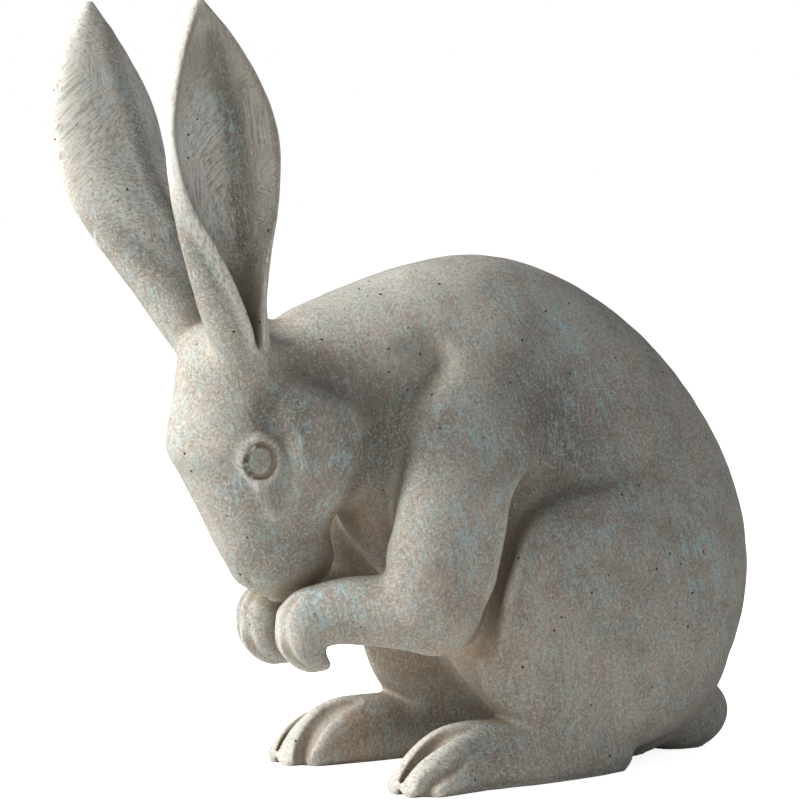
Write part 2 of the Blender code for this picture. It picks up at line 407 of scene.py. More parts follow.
@dataclass(frozen=True)
class Anatomy:
    """The rabbit's masses, with the sizes of its solid."""

    trunk: Rows = (
        (0, -50, 231, 54, 43),
        (0, -12, 228, 69, 51),
        (0, 28, 219, 88, 57),
        (0, 60, 200, 107, 57),
        (0, 104, 168, 111, 61),
        (0, 134, 122, 109, 74),
        (0, 148, 80, 84, 68),
    )
    upper_arm: Rows = (
        (34, 44.5, 228, 47.5, 24),
        (44, 24, 200, 47, 27),
        (52, 8, 165, 44, 27),
        (56, -4, 130, 38, 24),
        (56, -10, 108, 29, 22),
    )
    forearm: Rows = (
        (56, -10, 106, 27, 22),
        (45, -34, 105, 22, 19),
        (33, -58, 105, 19.5, 16),
        (25, -74, 102, 18, 15),
    )
    paw: Rows = (
        (23, -80, 99, 17.5, 16),
        (22, -82, 88, 14.5, 15),
        (21, -76, 78.5, 9.5, 13),
        (20, -68, 73.5, 4.5, 10),
    )
    haunch: Rows = (
        (66, 86, 99, 70, 22),
        (61, 104, 97, 81, 28),
        (52, 121, 93, 82, 34),
        (42, 134, 93, 76, 38),
    )
    knee: Rows = (
        (58, 62, 128, 30, 20),
        (62, 51, 96, 34, 21),
        (63, 51, 72, 33.5, 21),
        (62.5, 59, 52, 30, 20),
        (62, 70, 34, 24, 18),
    )
    foot: Rows = (
        (56, 112, 12, 16, 15),
        (61, 85, 13, 21, 16),
        (64, 45, 13, 25, 18),
        (64, 10, 13, 26, 19),
        (65.5, -6, 12.5, 25, 20.5),
        (67, -19, 10, 20, 22),
        (68, -30, 6.5, 14, 22),
        (68, -38, 4.5, 8, 19),
    )
    cheek: tuple[Row, Row] = ((25, -68, 203), (14, 27, 32))
    tail: tuple[Row, Row] = ((0, 203, 22), (27, 34, 25))
    head: Rows = (
        (109, -79, 9, 7),
        (121, -82, 27.5, 18),
        (134, -83.5, 35, 21.5),
        (150, -90, 37.5, 26.5),
        (166, -93, 42.5, 32),
        (184, -93.5, 52, 36),
        (203, -97.5, 58, 38),
        (230, -100.5, 50, 36),
        (258, -105, 40, 31),
        (276, -109, 14, 12),
    )
    ear: Rows = (
        (230, 14, -108, 7, 6),
        (250, 22, -118, 14.5, 13.5),
        (268, 28.5, -127, 18, 17),
        (289, 36, -136, 21, 18.5),
        (320, 51.5, -147.5, 28, 17.5),
        (349, 63, -155, 34, 17),
        (382, 68.5, -160, 35.8, 15.5),
        (409, 69, -164, 29.8, 13),
        (436, 68.5, -169.5, 18, 9.5),
        (459.5, 65, -173.5, 2.5, 3),
    )
    ear_hollow: Rows = (
        (258, 22, 4, 2, 4),
        (272, 13, 5, 3, 12),
        (290, 10, 5, 7.5, 16),
        (318, 8.5, 3, 16, 18),
        (346, 8, 2, 28, 18),
        (382, 8, 0, 32, 16),
        (409, 7, 0, 26, 12),
        (436, 6, 0, 13.5, 7.5),
        (455, 6, 0, 2, 2),
    )
    haunch_crease: Rows = (
        (72, 13, 83, 3, 3),
        (70, 18, 100, 4, 4),
        (68, 24, 118, 5, 5),
        (67, 29, 135, 6, 6),
        (66, 33.5, 150, 7, 7),
        (66, 39, 164, 8.5, 8.5),
        (66, 50, 173, 8, 8),
        (67, 70, 177, 6, 6),
        (70, 95, 179, 4, 4),
        (74, 115, 181, 2, 2),
    )
    neck_hollow: Rows = (
        (48, -8, 250, 3, 3),
        (48, -22, 236, 6, 6),
        (47, -34, 218, 8, 8),
        (46, -38, 200, 9, 9),
        (43, -41, 180, 8, 8),
        (39, -43, 160, 6, 6),
    )
    nape_hollow: Rows = (
        (36, -90, 254, 3, 3),
        (42, -66, 243, 5, 5),
        (46, -44, 234, 7, 7),
    )
    cheek_valley: Rows = (
        (36, -104, 250, 2, 2),
        (40, -108, 238, 3, 3),
        (40, -112, 219, 3, 3),
        (41, -105, 205, 2, 2),
        (40, -103, 190, 2, 2),
        (37, -107, 173, 2.5, 2.5),
        (33, -108, 160, 2, 2),
    )
    head_slant: float = 0.93
    ear_slant: float = 0.86
    ear_lip: float = 3.5

    def steps(self) -> tuple[Step, ...]:
        """The masses in the order in which they are blended."""
        add, carve = Work.JOIN, Work.CUT
        return (
            Step("trunk", add, SweptBall(self.trunk), 1),
            Step("haunch", add, SweptBall(self.haunch), 12),
            Step("knee", add, SweptBall(self.knee), 14),
            Step("head", add, OvalColumn(self.head, self.head_slant), 16),
            Step("cheek", add, Oval(*self.cheek), 28),
            Step("upper_arm", add, SweptBall(self.upper_arm), 12),
            Step("haunch_crease", carve, SweptBall(self.haunch_crease), 10),
            Step("neck_hollow", carve, SweptBall(self.neck_hollow), 20),
            Step("nape_hollow", carve, SweptBall(self.nape_hollow), 20),
            Step("forearm", add, SweptBall(self.forearm), 5),
            Step("paw", add, SweptBall(self.paw), 4),
            Step("foot", add, SweptBall(self.foot), 6),
            Step("tail", add, Oval(*self.tail), 5),
            Step("cheek_valley", carve, SweptBall(self.cheek_valley), 12),
            Step("ear", add, EarBlade(self.ear, self.ear_hollow, self.ear_slant, self.ear_lip), 10),
        )


@dataclass(frozen=True)
class Carving:
    """The detail that is cut and modelled on the blended form."""

    inner_toe_groove: Rows = (
        (57, 3, 37, 1.5, 1.5),
        (56.5, -8, 34.5, 3, 3),
        (56, -18, 29, 3.8, 3.8),
        (55, -26, 22.5, 4, 4),
        (54, -33, 13, 4, 4),
        (53.5, -36, 6, 4, 4),
        (53.5, -37, 0, 4, 4),
    )
    outer_toe_groove: Rows = (
        (72, 4, 37, 1.5, 1.5),
        (72, -8, 35, 3, 3),
        (72, -18, 29.5, 3.8, 3.8),
        (71.5, -26, 23, 4, 4),
        (71, -34, 14, 4, 4),
        (70.5, -38, 7, 4, 4),
        (70, -39.5, 0, 4, 4),
    )
    side_toe_groove: Rows = (
        (83, 2, 27, 1.5, 1.5),
        (86, -8, 22.5, 3, 3),
        (87.5, -18, 17, 3.8, 3.8),
        (88, -27, 12.5, 4, 4),
        (86.5, -34, 7, 4, 4),
        (85, -36.5, 0, 4, 4),
    )
    finger_grooves_x: Row = (17, 27)
    finger_groove: Rows = (
        (-88, 114.5, 1.5),
        (-95, 108, 2.8),
        (-98, 99, 3),
        (-96, 87, 3),
        (-88, 75, 2.8),
        (-77, 69, 2.2),
        (-70, 68, 1.5),
    )
    brow: Rows = (
        (30, -130, 207, 2.4, 4.6),
        (27, -136, 204.5, 3.2, 5.7),
        (23, -142, 200, 3.2, 7.2),
        (17, -148, 196, 3, 9),
    )
    tear_ridge: Rows = (
        (34, -116, 181, 1.6, 1.1),
        (34, -113, 174, 2.2, 1.4),
        (33, -109, 167, 2.2, 1.5),
        (31, -105, 161, 1.6, 1.5),
    )
    ear_ridge: Rows = (
        (57, -163, 440, 2.5, 4.5),
        (55, -161, 425, 4, 5.5),
        (53, -150, 390, 5, 6.5),
        (51, -140, 355, 5, 6.5),
        (45, -133, 325, 4, 6.5),
    )
    nostril: Rows = ((9, -110, 125, 1.1, 0.2), (7, -107, 120, 1.7, 0.3), (4, -104, 117, 1.2, 0.2))
    lip_parting: Rows = ((0, -110, 121, 0.9, 0.2), (0, -102, 115, 1.2, 0.3), (0, -93, 111, 1.1, 0.3))
    mouth: Rows = ((0, -93, 111, 1.1, 0.2), (7, -87, 112, 1.1, 0.2), (12, -80, 116, 0.8, -0.2))
    eye_middle: Row = (35, -117, 195.5)
    eye_half_width: float = 8.4
    eye_half_height: float = 9.6
    eye_points: int = 27
    eye_overlap: float = 0.08
    brow_side: float = 140.0

    def eye_ring(self, grow: float, radius: float, depth: float, brow: float) -> Rows:
        """A closed oval path round the eye: y and z by the cosine and sine of the angle, x left to the skin.

        Args:
            grow: How far the path lies outside the eyeball's edge.
            radius: Radius of the ridge or groove.
            depth: How far its middle is sunk in the skin.
            brow: How much thicker it is at the front and top, towards the brow.

        Returns:
            The rows of a stroke.
        """
        turn = np.linspace(0, math.tau * (1 + self.eye_overlap), self.eye_points)
        thick = radius + brow * np.maximum(0, np.cos(turn - math.radians(self.brow_side))) ** 2
        y = self.eye_middle[1] + (self.eye_half_width + grow) * np.cos(turn)
        z = self.eye_middle[2] + (self.eye_half_height + grow) * np.sin(turn)
        x = np.full_like(turn, self.eye_middle[0])
        return tuple(map(tuple, np.column_stack([x, y, z, thick, np.full_like(turn, depth)])))

    def grooves(self, name: str, places_x: Row, path: Rows, lip: float) -> list[Step]:
        """Equal grooves side by side, each on its own plane of constant x.

        Args:
            name: What the grooves part.
            places_x: Where each groove's plane stands.
            path: y, z and half-thickness along the groove.
            lip: How round its edges are.

        Returns:
            One step a groove.
        """
        made = []
        for x in places_x:
            rows = tuple((x, y, z, half, half) for y, z, half in path)
            made.append(Step(name, Work.CUT, SweptBall(rows), lip))
        return made

    def strokes(self) -> tuple[Stroke, ...]:
        """The lines drawn on the skin, in the order in which they are laid."""
        add, carve = Work.JOIN, Work.CUT
        return (
            Stroke("lids", add, self.eye_ring(2.9, 2.2, 1.7, 1.3), 4),
            Stroke("eye_groove", carve, self.eye_ring(0.4, 1.5, 0.0, 0.0), 1.8),
            Stroke("brow", add, self.brow, 9),
            Stroke("tear_ridge", add, self.tear_ridge, 5),
            Stroke("ear_ridge", add, self.ear_ridge, 9),
            Stroke("nostril", carve, self.nostril, 1.5),
            Stroke("lip_parting", carve, self.lip_parting, 1.5),
            Stroke("mouth", carve, self.mouth, 2),
        )

    def steps(self, form: Form) -> tuple[Step, ...]:
        """The carving as steps, each stroke laid on the form that is given.

        Args:
            form: The blended masses.

        Returns:
            The steps to add to the form's own.
        """
        return (
            Step("inner_toe_groove", Work.CUT, SweptBall(self.inner_toe_groove), 6),
            Step("outer_toe_groove", Work.CUT, SweptBall(self.outer_toe_groove), 6),
            Step("side_toe_groove", Work.CUT, SweptBall(self.side_toe_groove), 6),
            *self.grooves("finger_groove", self.finger_grooves_x, self.finger_groove, 3),
            *(stroke.step(form) for stroke in self.strokes()),
        )


@dataclass(frozen=True)
class Skin:
    """Turns a form into one closed mesh."""

    cell: float = 3.0
    coarse_cells: int = 4
    lowest: Row = (0, -215, -8.1)
    highest: Row = (125, 270, 475)
    pinch_rounds: int = 3
    filled_depth: float = 0.05
    flat_band: float = 0.6
    settling_rounds: int = 2
    settling_reach: float = 0.4

    def block(self, form: Form) -> Array:
        """Distances on a grid over x >= 0, exact near the skin and read between coarse cells elsewhere.

        Args:
            form: The form to read.

        Returns:
            The grid of distances.
        """
        low, high = np.array(self.lowest), np.array(self.highest)
        wide = self.cell * self.coarse_cells
        counts = np.ceil((high - low) / wide).astype(int) + 1
        places = np.indices(counts).reshape(3, -1).T * wide + low
        block = form.distance(places).reshape(counts)
        for axis in range(3):
            steps = np.arange((counts[axis] - 1) * self.coarse_cells + 1)
            cell = np.minimum(steps // self.coarse_cells, counts[axis] - 2)
            share = (steps / self.coarse_cells - cell).astype(np.float32)
            share = share.reshape([-1 if k == axis else 1 for k in range(3)])
            block = np.take(block, cell, axis) * (1 - share) + np.take(block, cell + 1, axis) * share
        near = np.argwhere(np.abs(block) < wide)
        block[tuple(near.T)] = form.distance(near * self.cell + low)
        return self.without_pinches(block)

    def without_pinches(self, block: Array) -> Array:
        """Fills the grid squares with only two opposite corners inside, where the skin would touch itself.

        Args:
            block: The grid of distances, which is changed.

        Returns:
            The same grid.
        """
        for axes in self.pinch_rounds * ((0, 1), (1, 2), (2, 0)):
            corners = []
            for start in np.ndindex(2, 2):
                spans = [slice(None)] * 3
                for axis, first in zip(axes, start):
                    spans[axis] = slice(first, block.shape[axis] - 1 + first)
                corners.append(block[tuple(spans)])
            signs = [corner < 0 for corner in corners]
            pinched = (signs[0] == signs[3]) & (signs[1] == signs[2]) & (signs[0] != signs[1])
            for corner in corners:
                corner[pinched] = np.minimum(corner[pinched], -self.filled_depth)
        return block

    def surface(self, block: Array, low: Array) -> tuple[Array, Array]:
        """A vertex at the mean crossing of each cell on the skin, and a quad round each crossed edge.

        Args:
            block: The grid of distances.
            low: Place of its first corner.

        Returns:
            Vertices, and quads that face outwards.
        """
        inside = block < 0
        cells = tuple(np.array(block.shape) - 1)
        total, count = np.zeros(cells + (3,), np.float32), np.zeros(cells, np.float32)
        for corner in np.ndindex(2, 2, 2):
            for axis in np.flatnonzero(np.array(corner) == 0):
                other = np.array(corner)
                other[axis] = 1
                here = tuple(slice(k, k + n) for k, n in zip(corner, cells))
                there = tuple(slice(k, k + n) for k, n in zip(other, cells))
                crosses = inside[here] != inside[there]
                share = block[here] / np.where(crosses, block[here] - block[there], 1)
                for part in range(3):
                    total[..., part] += (corner[part] + (share if part == axis else 0)) * crosses
                count += crosses
        live = count > 0
        number = np.full(cells, -1)
        number[live] = np.arange(live.sum())
        vertices = (np.argwhere(live) + total[live] / count[live][:, None]) * self.cell + low
        quads = []
        for axis in range(3):
            first, second = np.eye(3, dtype=int)[[(axis + 1) % 3, (axis + 2) % 3]]
            here = tuple(slice(0, -1) if k == axis else slice(1, -1) for k in range(3))
            there = tuple(slice(1, None) if k == axis else slice(1, -1) for k in range(3))
            leaving = ((inside[here] & ~inside[there], 1), (~inside[here] & inside[there], -1))
            for leaves, order in leaving:
                edge = np.argwhere(leaves) + first + second
                ring = [edge - first - second, edge - second, edge, edge - first]
                quads.append(np.stack([number[tuple(cell.T)] for cell in ring], 1)[:, ::order])
        return vertices, np.concatenate(quads)

    def mesh(self, form: Form) -> tuple[Array, Array]:
        """Vertices on the form's skin, and quads.

        Args:
            form: The form to skin.

        Returns:
            Vertices in model millimetres, and quads.
        """
        block = self.block(form)
        low = np.array(self.lowest) - ((block.shape[0] - 1) * self.cell, 0, 0)
        vertices, quads = self.surface(np.concatenate([block[:0:-1], block]), low)
        return form.settle(vertices, self.settling_rounds, self.settling_reach * self.cell), quads


@dataclass(frozen=True)
class Refinement:
    """Splits the faces whose middle lies off the skin, so that small carving gets small faces."""

    rounds: int = 2
    most_faces: int = 6200
    least_gap: float = 0.05
    settling_rounds: int = 2
    settling_reach: float = 0.3

    def refine(self, mesh: bpy.types.Mesh, form: Form, cell: float) -> None:
        """Splits the faces that fit worst, and settles the new vertices.

        Args:
            mesh: The mesh, in model millimetres.
            form: The form that it follows.
            cell: Size of its faces.
        """
        for level in range(self.rounds):
            count = len(mesh.polygons)
            middles = np.empty(count * 3, np.float32)
            mesh.polygons.foreach_get("center", middles)
            gap = np.abs(form.distance(middles.reshape(-1, 3)))
            most = self.most_faces // (level + 1)
            limit = max(self.least_gap, float(np.sort(gap)[-min(most, count)]))
            before = len(mesh.vertices)
            tool = bmesh.new()
            tool.from_mesh(mesh)
            tool.faces.ensure_lookup_table()
            chosen = {edge for k in np.flatnonzero(gap > limit) for edge in tool.faces[k].edges}
            ordered = sorted(chosen, key=lambda edge: edge.index)
            bmesh.ops.subdivide_edges(tool, edges=ordered, cuts=1, use_grid_fill=True)
            bmesh.ops.triangulate(tool, faces=[face for face in tool.faces if len(face.verts) > 4])
            tool.to_mesh(mesh)
            tool.free()
            vertices = read_vertices(mesh)
            longest = self.settling_reach * cell / (level + 1)
            vertices[before:] = form.settle(vertices[before:], self.settling_rounds, longest)
            mesh.vertices.foreach_set("co", vertices.astype(np.float32).ravel())
            log.info("split %d faces, now %d", int((gap > limit).sum()), len(mesh.polygons))


def read_vertices(mesh: bpy.types.Mesh) -> Array:
    """The places of a mesh's vertices, one a row."""
    places = np.empty(len(mesh.vertices) * 3, np.float32)
    mesh.vertices.foreach_get("co", places)
    return places.reshape(-1, 3).astype(float)


def linear(colour: str) -> tuple[float, float, float, float]:
    """An sRGB hex colour as linear light, by the sRGB curve.

    Args:
        colour: Six hex digits.

    Returns:
        Red, green, blue and alpha.
    """
    parts = [int(colour[k : k + 2], 16) / 255 for k in (0, 2, 4)]
    light = [c / 12.92 if c <= 0.04045 else ((c + 0.055) / 1.055) ** 2.4 for c in parts]
    return light[0], light[1], light[2], 1.0


def add_node(
    tree: bpy.types.NodeTree,
    kind: str,
    settings: dict[str, object] | None = None,
    links: dict[object, object] | None = None,
) -> bpy.types.Node:
    """Adds a node with its settings, and its inputs' values or links.

    Args:
        tree: The material's or world's tree.
        kind: Blender's name for the node's type.
        settings: The node's own properties.
        links: For each input, by name or number, a socket to link or a value to set.

    Returns:
        The node.
    """
    node = tree.nodes.new(kind)
    for name, value in (settings or {}).items():
        setattr(node, name, value)
    for key, value in (links or {}).items():
        if isinstance(value, bpy.types.NodeSocket):
            tree.links.new(value, node.inputs[key])
        else:
            node.inputs[key].default_value = value
    return node


@dataclass(frozen=True)
class Patterns:
    """Adds the nodes of one material. Each method hands back the socket that carries what it made."""

    tree: bpy.types.NodeTree
    place: Socket

    def noise(self, size_mm: float, detail: float, rough: float, vector: Socket | None = None) -> Socket:
        """Noise whose grains are about size_mm wide, read at the object's own place or at another vector."""
        read_at = self.place if vector is None else vector
        made = {"Vector": read_at, "Scale": MM_PER_METRE / size_mm, "Detail": detail, "Roughness": rough}
        return add_node(self.tree, "ShaderNodeTexNoise", links=made).outputs["Fac"]

    def stretch(self, turn: Row, long_by: float = 1.0) -> Socket:
        """The object's place turned, so that a pattern's grains are drawn out long_by times one way."""
        made = {"Vector": self.place, "Rotation": turn, "Scale": (1, 1, long_by)}
        return add_node(self.tree, "ShaderNodeMapping", {"vector_type": "TEXTURE"}, made).outputs["Vector"]

    def ramp(self, value: Socket, low: float, high: float, to_low: float = 0, to_high: float = 1) -> Socket:
        """A soft step, from to_low where the value is low to to_high where it is high."""
        made = {"Value": value, "From Min": low, "From Max": high, "To Min": to_low, "To Max": to_high}
        soft = {"interpolation_type": "SMOOTHSTEP"}
        return add_node(self.tree, "ShaderNodeMapRange", soft, made).outputs[0]

    def maths(self, how: str, one: Socket | float, other: Socket | float) -> Socket:
        """Two values put together by one of the maths node's operations."""
        return add_node(self.tree, "ShaderNodeMath", {"operation": how}, {0: one, 1: other}).outputs[0]

    def times(self, one: Socket | float, other: Socket | float) -> Socket:
        """The product of two values."""
        return self.maths("MULTIPLY", one, other)

    def coat(self, under: Socket | tuple[float, ...], colour: str, share: Socket | float) -> Socket:
        """A colour, given as sRGB hex, laid over another by a share."""
        settings = {"data_type": "RGBA", "blend_type": "MIX", "clamp_factor": True}
        made = {0: share, 6: under, 7: linear(colour)}
        return add_node(self.tree, "ShaderNodeMix", settings, made).outputs[2]

    def blend(self, share: Socket, one: Socket, other: Socket) -> Socket:
        """One value, and the other where the share is 1."""
        made = {0: share, 2: one, 3: other}
        return add_node(self.tree, "ShaderNodeMix", {"data_type": "FLOAT"}, made).outputs[0]

    def attribute(self, name: str) -> Socket:
        """A share that the mesh carries at its vertices."""
        return add_node(self.tree, "ShaderNodeAttribute", {"attribute_name": name}).outputs["Fac"]


@dataclass(frozen=True)
class Fleck:
    """A colour laid where a pattern goes from one value to another, up to a share."""

    pattern: str
    start: float
    full: float
    share: float
    colour: str


@dataclass(frozen=True)
class WashedCastStone:
    """Cast stone, pressed from a mould, brushed with a thin whitish wash and rubbed back.

    A matt grey ground with fleck and pinholes; warm stone, partly painted light, and painted shade over dark
    patina, in named places; painted light on the most lit places; bluish wash in streaks, rubbed whitish
    edges, and brown dirt, partly painted shade, in the hollows.
    """

    ground: str = "a59d93"
    ground_dark: str = "77736a"
    ground_pale: str = "d3cfc6"
    wash: str = "9dc3ca"
    # Brown dirt colour for the hollows, laid by how sunk the skin is, so partly painted shade.
    dust_and_painted_shade: str = "857661"
    # Dark colour of flecks, also painted as shade over dark patina in named places.
    dark_fleck_and_painted_shade: str = "4f4c45"
    # Warm stone colour, also painted as light on the chest and as warm bounce light under the body.
    warm_stone_and_painted_light: str = "bd9f7e"
    # Whitish colour of rubbed edges and scratches, also painted as light on the most lit places.
    worn_and_painted_light: str = "d9d6cf"
    hole: str = "2c2823"
    flecks: tuple[Fleck, ...] = (
        Fleck("fleck", 0.5, 0.64, 0.5, ground_pale),
        Fleck("fleck", 0.49, 0.36, 0.7, ground_dark),
        Fleck("strokes", 0.47, 0.34, 0.25, dark_fleck_and_painted_shade),
        Fleck("speck", 0.56, 0.7, 0.3, ground_pale),
        Fleck("speck", 0.44, 0.32, 0.3, dark_fleck_and_painted_shade),
    )
    mottle_share: float = 0.5
    # How strongly the painted light shows.
    painted_light_share: float = 0.9
    wash_share: float = 0.95
    worn_share: float = 0.65
    # Share of brown dirt and painted shade in the hollows.
    dust_and_painted_shade_share: float = 0.75
    scratch_share: float = 0.8
    roughness: float = 0.86
    fleck_roughness: float = 0.1
    ior: float = 1.5
    fleck_mm: float = 1.7
    speck_mm: float = 0.9
    mottle_mm: float = 24.0
    patch_mm: float = 17.0
    stroke_mm: float = 1.3
    stroke_length_mm: float = 24.0
    stroke_turns: Rows = ((0.25, 0.1, 0), (1.25, 0.2, 0.3), (-0.7, 0.4, 0))
    stroke_field_mm: Row = (55, 48)
    stroke_field_turn: Row = (0.9, 0.3, 0.2)
    wash_stroke_mm: float = 2.6
    wash_stroke_length_mm: float = 15.0
    wash_stroke_turn: Row = (0.2, -0.12, 0)
    scratch_mm: float = 0.8
    scratch_long_by: float = 60.0
    scratch_turns: Rows = ((0.5, 0.35, 0.2), (1.1, -0.4, 0.5))
    scratched_patch_mm: float = 60.0
    hole_spacing_mm: float = 11.0
    hole_radius_mm: float = 0.75
    grain_mm: float = 0.7
    grain_height_mm: float = 0.22
    fleck_height_mm: float = 0.16
    stroke_height_mm: float = 0.13
    scratch_height_mm: float = 0.08
    hole_depth_mm: float = 0.6
    bump_strength: float = 0.8

    def strokes(self, make: Patterns) -> Socket:
        """Brush marks in three directions, each in fields of its own."""
        long_by = self.stroke_length_mm / self.stroke_mm
        upright, level, across = (
            make.noise(self.stroke_mm, 3, 0.6, make.stretch(turn, long_by)) for turn in self.stroke_turns
        )
        one_field, other_field = self.stroke_field_mm
        which = make.ramp(make.noise(one_field, 1, 0.5), 0.48, 0.62)
        other_way = make.noise(other_field, 1, 0.5, make.stretch(self.stroke_field_turn))
        return make.blend(make.ramp(other_way, 0.5, 0.64), make.blend(which, upright, level), across)

    def scratches(self, make: Patterns) -> Socket:
        """Thin scratches that cross each other, in patches."""
        one, other = (
            make.noise(self.scratch_mm, 1, 0.4, make.stretch(turn, self.scratch_long_by))
            for turn in self.scratch_turns
        )
        both = make.maths("MAXIMUM", make.ramp(one, 0.68, 0.73), make.ramp(other, 0.7, 0.75))
        return make.times(both, make.ramp(make.noise(self.scratched_patch_mm, 2, 0.5), 0.5, 0.62))

    def holes(self, make: Patterns) -> Socket:
        """Round pinholes, one in about half of the cells of a loose grid."""
        cells = add_node(
            make.tree,
            "ShaderNodeTexVoronoi",
            {"voronoi_dimensions": "3D", "feature": "F1"},
            {"Vector": make.place, "Scale": MM_PER_METRE / self.hole_spacing_mm, "Randomness": 1.0},
        )
        edge = self.hole_radius_mm / self.hole_spacing_mm
        spot = make.ramp(cells.outputs["Distance"], edge * 1.35, edge * 0.75)
        kept = add_node(make.tree, "ShaderNodeSeparateColor", links={0: cells.outputs["Color"]}).outputs[0]
        return make.times(spot, make.ramp(kept, 0.42, 0.5))

    def ground_colour(self, make: Patterns, mottle: Socket, strokes: Socket, fleck: Socket) -> Socket:
        """The stone's colour: mottled and flecked, with painted light, warm stone partly painted as light,
        and painted shade over dark patina, by place.
        """
        warm_stone_and_painted_light, patina_and_painted_shade = make.attribute("warm_stone_and_painted_light"), make.attribute("patina_and_painted_shade")
        mottled = make.coat(linear(self.ground_dark), self.ground, make.ramp(mottle, 0.35, 0.65))
        colour = make.coat(mottled, self.ground, self.mottle_share)
        # Painted light: a paler colour where light falls strongest, on the ears' lit faces, the forehead and
        # the back.
        colour = make.coat(colour, self.worn_and_painted_light, make.times(make.attribute("painted_light"), self.painted_light_share))
        # Warm stone in named places, partly painted light on the chest and under the body.
        colour = make.coat(colour, self.warm_stone_and_painted_light, make.times(warm_stone_and_painted_light, make.ramp(mottle, 0.25, 0.6, 0.7, 1.0)))
        # Painted shade over dark patina in named places: flank, neck and ear hollows, behind the eye, low by
        # the feet.
        colour = make.coat(colour, self.dark_fleck_and_painted_shade, make.times(patina_and_painted_shade, make.ramp(strokes, 0.4, 0.66, 1.0, 0.6)))
        patterns = {"fleck": fleck, "strokes": strokes, "speck": make.noise(self.speck_mm, 3, 0.6)}
        for mark in self.flecks:
            seen = make.ramp(patterns[mark.pattern], mark.start, mark.full)
            colour = make.coat(colour, mark.colour, make.times(seen, mark.share))
        return colour

    def wash_share_at(self, make: Patterns, fleck: Socket) -> Socket:
        """How much of the wash shows: streaks in patches, thinner on the dark flecks."""
        drawn = self.wash_stroke_length_mm / self.wash_stroke_mm
        streaks = make.noise(self.wash_stroke_mm, 5, 0.7, make.stretch(self.wash_stroke_turn, drawn))
        patch = make.ramp(make.noise(self.patch_mm, 4, 0.65), 0.4, 0.56)
        laid = make.times(make.ramp(streaks, 0.47, 0.56), make.attribute("washed"))
        return make.times(laid, make.times(patch, make.ramp(fleck, 0.36, 0.52, 0.4, 1.0)))

    def bump(self, make: Patterns, reliefs: tuple[tuple[Socket, float], ...]) -> Socket:
        """The fine relief of the skin.

        Args:
            make: The material's patterns.
            reliefs: Each pattern with its height in millimetres, negative where it is sunk.

        Returns:
            The bent normal.
        """
        height = 0.0
        for pattern, height_mm in reliefs:
            height = make.maths("ADD", height, make.times(pattern, height_mm / MM_PER_METRE))
        made = {"Height": height, "Strength": self.bump_strength, "Distance": 1.0}
        return add_node(make.tree, "ShaderNodeBump", links=made).outputs["Normal"]

    def material(self) -> bpy.types.Material:
        """The stone as a node material.

        Returns:
            The material.
        """
        material = bpy.data.materials.new("washed_cast_stone")
        material.use_nodes = True
        tree = material.node_tree
        tree.nodes.clear()
        make = Patterns(tree, add_node(tree, "ShaderNodeTexCoord").outputs["Object"])
        mottle, fleck = make.noise(self.mottle_mm, 5, 0.6), make.noise(self.fleck_mm, 6, 0.75)
        strokes, scratch, hole = self.strokes(make), self.scratches(make), self.holes(make)

        colour = self.ground_colour(make, mottle, strokes, fleck)
        colour = make.coat(colour, self.wash, make.times(self.wash_share_at(make, fleck), self.wash_share))
        edges = make.ramp(make.attribute("proud"), 0.1, 0.55)
        hollows = make.ramp(make.attribute("sunk"), 0.12, 0.7)
        rubbed = make.times(edges, make.ramp(strokes, 0.35, 0.6, 0.25, 1.0))
        colour = make.coat(colour, self.worn_and_painted_light, make.times(rubbed, self.worn_share))
        # Brown dirt in the hollows, partly painted shade, as the hollows come from how sunk the skin is.
        hollow_dust_and_painted_shade = make.times(hollows, make.ramp(mottle, 0.2, 0.6, 0.6, 1.0))
        colour = make.coat(colour, self.dust_and_painted_shade, make.times(hollow_dust_and_painted_shade, self.dust_and_painted_shade_share))
        colour = make.coat(colour, self.worn_and_painted_light, make.times(scratch, self.scratch_share))
        colour = make.coat(colour, self.hole, hole)

        reliefs = (
            (make.noise(self.grain_mm, 4, 0.7), self.grain_height_mm),
            (fleck, self.fleck_height_mm),
            (strokes, self.stroke_height_mm),
            (scratch, self.scratch_height_mm),
            (hole, -self.hole_depth_mm),
        )
        rough = make.maths("ADD", self.roughness, make.times(fleck, self.fleck_roughness))
        look = {"Base Color": colour, "Roughness": rough, "Normal": self.bump(make, reliefs)}
        look |= {"IOR": self.ior, "Metallic": 0.0}
        shader = add_node(tree, "ShaderNodeBsdfPrincipled", links=look)
        add_node(tree, "ShaderNodeOutputMaterial", links={"Surface": shader.outputs[0]})
        return material


